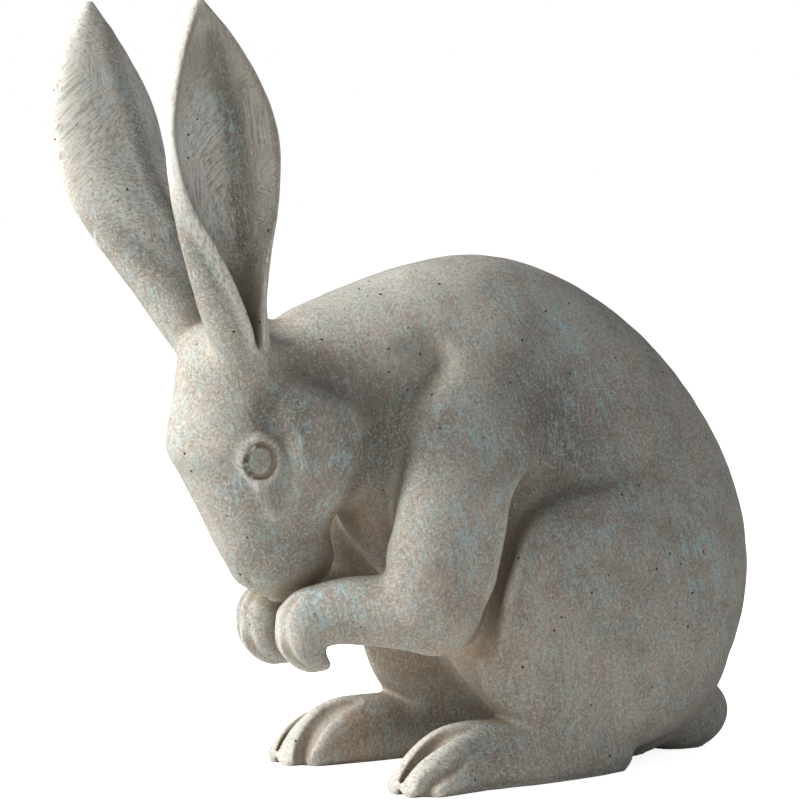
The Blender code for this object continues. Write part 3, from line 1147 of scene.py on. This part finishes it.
@dataclass(frozen=True)
class Rabbit:
    """The figure: form, carving, skin and finish."""

    anatomy: Anatomy = Anatomy()
    carving: Carving = Carving()
    skin: Skin = Skin()
    refinement: Refinement = Refinement()
    finish: WashedCastStone = WashedCastStone()
    unevenness_mm: float = 0.1
    unevenness_length_mm: float = 30.0
    unevenness_waves: int = 14
    unevenness_spread: Row = (0.6, 2.2)
    seed: int = 7
    sunk_reaches: Row = (5, 16)
    proud_reach: float = 5.0
    least_wash: float = 0.3
    washed_places: Rows = (
        (36, -82, 195, 24, 1.0),
        (35, -75, 172, 18, 0.9),
        (30, -128, 186, 15, 0.9),
        (60, 6, 205, 26, 1.0),
        (68, 4, 160, 30, 1.0),
        (62, -12, 122, 26, 0.8),
        (34, -70, 108, 24, 0.9),
        (60, 120, 175, 30, 0.8),
        (72, 90, 130, 34, 0.8),
        (60, 160, 130, 42, 1.0),
        (55, 185, 90, 30, 0.8),
        (62, 100, 240, 34, 0.7),
        (45, 96, 272, 34, 0.9),
        (50, 60, 285, 30, 0.7),
        (75, -170, 400, 40, 0.8),
        (52, -165, 330, 30, 0.7),
        (40, 0, 20, 40, 0.5),
    )
    # Painted shade over dark patina: x, y, z, radius and strength of each place.
    patina_and_painted_shade_places: Rows = (
        (70, 68, 212, 42, 0.95),
        (66, 50, 178, 24, 0.6),
        (46, -42, 212, 34, 1.0),
        (42, -70, 240, 24, 0.8),
        (38, -104, 220, 23, 1.0),
        (36, -108, 176, 16, 0.5),
        (28, -88, 142, 24, 0.5),
        (58, -150, 375, 36, 0.8),
        (54, -140, 318, 34, 1.0),
        (70, 20, 24, 34, 0.6),
        (36, -117, 195, 12, 0.45),
        (70, -158, 388, 34, 0.8),
        (64, -148, 345, 28, 0.9),
        (62, 62, 30, 30, 0.5),
        (60, 76, 190, 30, 0.4),
    )
    # Warm stone, partly painted light on the chest and under the body: x, y, z, radius and strength.
    warm_stone_and_painted_light_places: Rows = (
        (24, 20, 80, 44, 1.0),
        (18, -46, 150, 24, 0.8),
        (44, 62, 66, 28, 0.8),
        (46, 0, 20, 26, 0.5),
        (56, 18, 96, 20, 0.8),
    )
    # Painted light: x, y, z, radius and strength; x keeps its sign, so the two ears differ.
    painted_light_places: Rows = (
        (-58, -150, 385, 38, 0.8),
        (45, 96, 272, 34, 0.4),
        (12, -150, 205, 34, 0.2),
        (58, 14, 212, 26, 0.35),
        (64, -6, 165, 26, 0.25),
        (62, -190, 380, 24, 1.0),
        (18, -95, 92, 20, 0.35),
        (0, -6, 290, 40, 0.4),
    )

    def form(self) -> Form:
        """The whole figure's form."""
        masses = Form(self.anatomy.steps())
        return Form(masses.steps + self.carving.steps(masses))

    def uneven(self, vertices: Array, slope: Array) -> Array:
        """Vertices moved along the skin's slope by a sum of sine waves in seeded directions.

        Args:
            vertices: Places in model millimetres.
            slope: Outward slope at each.

        Returns:
            The moved vertices.
        """
        draw = np.random.default_rng(self.seed)
        ways = draw.normal(size=(self.unevenness_waves, 3))
        ways *= 2 * math.pi / self.unevenness_length_mm / np.linalg.norm(ways, axis=1, keepdims=True)
        ways *= draw.uniform(*self.unevenness_spread, (self.unevenness_waves, 1))
        starts = draw.uniform(0, 2 * math.pi, self.unevenness_waves)
        waves = np.sin(vertices @ ways.T + starts).sum(1) / math.sqrt(self.unevenness_waves)
        return vertices + unit(slope) * (waves * self.unevenness_mm)[:, None]

    def near_places(self, vertices: Array, places: Rows, least: float) -> Array:
        """How much of a finish, or of painted light or shade, lies at each vertex, by bell curves round the
        places where it is strongest.

        Args:
            vertices: Places in model millimetres.
            places: x, y, z, radius and strength of each.
            least: The share that lies everywhere.

        Returns:
            The share at each vertex.
        """
        share = np.full(len(vertices), least)
        for x, y, z, radius, strength in places:
            away = ((vertices - (x, y, z)) ** 2).sum(1) / radius**2
            share = np.maximum(share, strength * np.exp(-away))
        return share

    def build(self) -> bpy.types.Object:
        """Makes the figure's mesh, with its attributes and its stone.

        Returns:
            The object.
        """
        form = self.form()
        vertices, quads = self.skin.mesh(form)
        mesh = bpy.data.meshes.new("rabbit_figure")
        mesh.from_pydata(vertices, [], quads.tolist())
        log.info("skinned the figure: %d faces", len(quads))
        self.refinement.refine(mesh, form, self.skin.cell)
        vertices = read_vertices(mesh)
        _, slope = form.slope(vertices)
        outwards, reach = unit(slope), self.proud_reach
        # How sunk each vertex is, read outwards at two reaches; it lays dirt and painted shade in the
        # hollows.
        near = [np.clip(1 - form.distance(vertices + outwards * h) / h, 0, 1) for h in self.sunk_reaches]
        proud = np.clip(1 + form.distance(vertices - outwards * reach) / reach, 0, 1)
        side = vertices.copy()
        side[:, 0] = np.abs(side[:, 0])
        layers = {
            "sunk": sum(near) / len(near),
            "proud": proud,
            "washed": self.near_places(side, self.washed_places, self.least_wash),
            # painted shade over dark patina
            "patina_and_painted_shade": self.near_places(side, self.patina_and_painted_shade_places, 0.0),
            # warm stone, partly painted light
            "warm_stone_and_painted_light": self.near_places(side, self.warm_stone_and_painted_light_places, 0.0),
            # painted light, different on each side
            "painted_light": self.near_places(vertices, self.painted_light_places, 0.0),
        }
        vertices = self.uneven(vertices, slope)
        vertices[:, 2] = np.where(vertices[:, 2] < self.skin.flat_band, 0, vertices[:, 2])
        vertices = (vertices - (0, MODEL_MIDDLE_Y, 0)) * TO_METRES
        low, high = (np.array(corner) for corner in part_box("rabbit"))
        low[2] = max(low[2], 0)
        vertices = np.clip(vertices, low, high)
        mesh.vertices.foreach_set("co", vertices.astype(np.float32).ravel())
        for name, values in layers.items():
            layer = mesh.attributes.new(name, "FLOAT", "POINT")
            layer.data.foreach_set("value", values.astype(np.float32))
        mesh.shade_smooth()
        mesh.update()
        mesh.materials.append(self.finish.material())
        figure = bpy.data.objects.new("rabbit_figure", mesh)
        bpy.context.scene.collection.objects.link(figure)
        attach(figure, "root")
        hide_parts("rabbit")
        log.info("rabbit_figure: %d vertices, %d faces", len(mesh.vertices), len(mesh.polygons))
        return figure


@dataclass(frozen=True)
class SoftLight:
    """A square soft light: its place and side in metres, its power in watts, and its colour as sRGB hex."""

    name: str
    place: Row
    power: float
    size: float
    colour: str


@dataclass(frozen=True)
class Studio:
    """Plain pale floor, soft lights, and the camera at the photograph's angle.

    The camera's place is in degrees and model millimetres, and focal_share is its focal length over the
    picture's width. The floor's half size and the height that the lights aim at are in metres.
    """

    floor_half_size: float = 9.0
    floor_colour: str = "f4f3f1"
    floor_glow: float = 0.85
    camera_azimuth: float = 58.0
    camera_distance: float = 2587.5
    camera_height: float = 417.0
    aim_height: float = 224.0
    focal_share: float = 4363 / 800
    sensor_mm: float = 36.0
    farthest_seen: float = 50.0
    world_light: float = 0.2
    lit_height: float = 0.22
    lights: tuple[SoftLight, ...] = (
        SoftLight("key", (-0.4, -2.05, 1.6), 106.0, 0.8, "fffefb"),
        SoftLight("fill", (1.5, 1.9, 1.0), 8.5, 1.6, "f4f8ff"),
    )

    def floor(self) -> None:
        """A wide level plane under the figure."""
        half = self.floor_half_size
        corners = [(-half, -half, 0), (half, -half, 0), (half, half, 0), (-half, half, 0)]
        mesh = bpy.data.meshes.new("studio_floor")
        mesh.from_pydata(corners, [], [(0, 1, 2, 3)])
        material = bpy.data.materials.new("matt_white_floor")
        material.use_nodes = True
        tree = material.node_tree
        tree.nodes.clear()
        seen = add_node(tree, "ShaderNodeLightPath").outputs["Is Camera Ray"]
        paint = add_node(tree, "ShaderNodeBsdfDiffuse", links={"Color": linear(self.floor_colour)})
        glow = add_node(tree, "ShaderNodeMath", {"operation": "MULTIPLY"}, {0: seen, 1: self.floor_glow})
        light = add_node(tree, "ShaderNodeEmission", links={"Strength": glow.outputs[0]})
        both = add_node(tree, "ShaderNodeAddShader", links={0: paint.outputs[0], 1: light.outputs[0]})
        add_node(tree, "ShaderNodeOutputMaterial", links={"Surface": both.outputs[0]})
        mesh.materials.append(material)
        floor = bpy.data.objects.new("studio_floor", mesh)
        bpy.context.scene.collection.objects.link(floor)
        floor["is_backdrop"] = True

    def camera(self) -> None:
        """A long lens that looks at the figure from its front left."""
        data = bpy.data.cameras.new("studio_camera")
        data.sensor_width = self.sensor_mm
        data.lens = self.focal_share * self.sensor_mm
        data.clip_end = self.farthest_seen
        turn = math.radians(self.camera_azimuth)
        aim = np.array([0, -MODEL_MIDDLE_Y, self.aim_height]) * TO_METRES
        away = np.array([math.sin(turn), -math.cos(turn), 0]) * self.camera_distance
        camera = bpy.data.objects.new("studio_camera", data)
        camera.location = aim + (away + (0, 0, self.camera_height - self.aim_height)) * TO_METRES
        self.look(camera, aim)
        bpy.context.scene.collection.objects.link(camera)
        bpy.context.scene.camera = camera

    def look(self, thing: bpy.types.Object, aim: Array) -> None:
        """Turns a camera or light, which look along their own -Z, towards a point."""
        way = Vector(aim) - Vector(thing.location)
        thing.rotation_euler = way.to_track_quat("-Z", "Y").to_euler()

    def light(self, soft: SoftLight) -> None:
        """Hangs one soft light and turns it to the figure."""
        data = bpy.data.lights.new(soft.name, "AREA")
        data.energy = soft.power
        data.size = soft.size
        data.color = linear(soft.colour)[:3]
        lamp = bpy.data.objects.new(soft.name, data)
        lamp.location = soft.place
        self.look(lamp, np.array([0, 0, self.lit_height]))
        bpy.context.scene.collection.objects.link(lamp)

    def world(self) -> None:
        """White to the camera, and dimmer as a light."""
        world = bpy.data.worlds.new("studio_air")
        world.use_nodes = True
        tree = world.node_tree
        tree.nodes.clear()
        seen = add_node(tree, "ShaderNodeLightPath").outputs["Is Camera Ray"]
        power = add_node(
            tree,
            "ShaderNodeMapRange",
            links={"Value": seen, "To Min": self.world_light, "To Max": 1.0},
        ).outputs[0]
        light = add_node(tree, "ShaderNodeBackground", links={"Color": (1, 1, 1, 1), "Strength": power})
        add_node(tree, "ShaderNodeOutputWorld", links={"Surface": light.outputs[0]})
        bpy.context.scene.world = world

    def build(self) -> None:
        """Sets up the floor, camera, lights and world."""
        self.floor()
        self.camera()
        self.world()
        for soft in self.lights:
            self.light(soft)
        bpy.context.scene.view_settings.view_transform = "Standard"
        log.info("studio: floor, camera, lights")


def corners() -> list[list[float]]:
    """The shown object's lowest and highest corner as plain lists."""
    return [[float(value) for value in corner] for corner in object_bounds()]


def main() -> None:
    """Loads the frame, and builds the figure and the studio."""
    logging.basicConfig(level=logging.INFO, format="%(name)s: %(message)s")
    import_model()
    Rabbit().build()
    Studio().build()


if __name__ == "__main__":
    main()
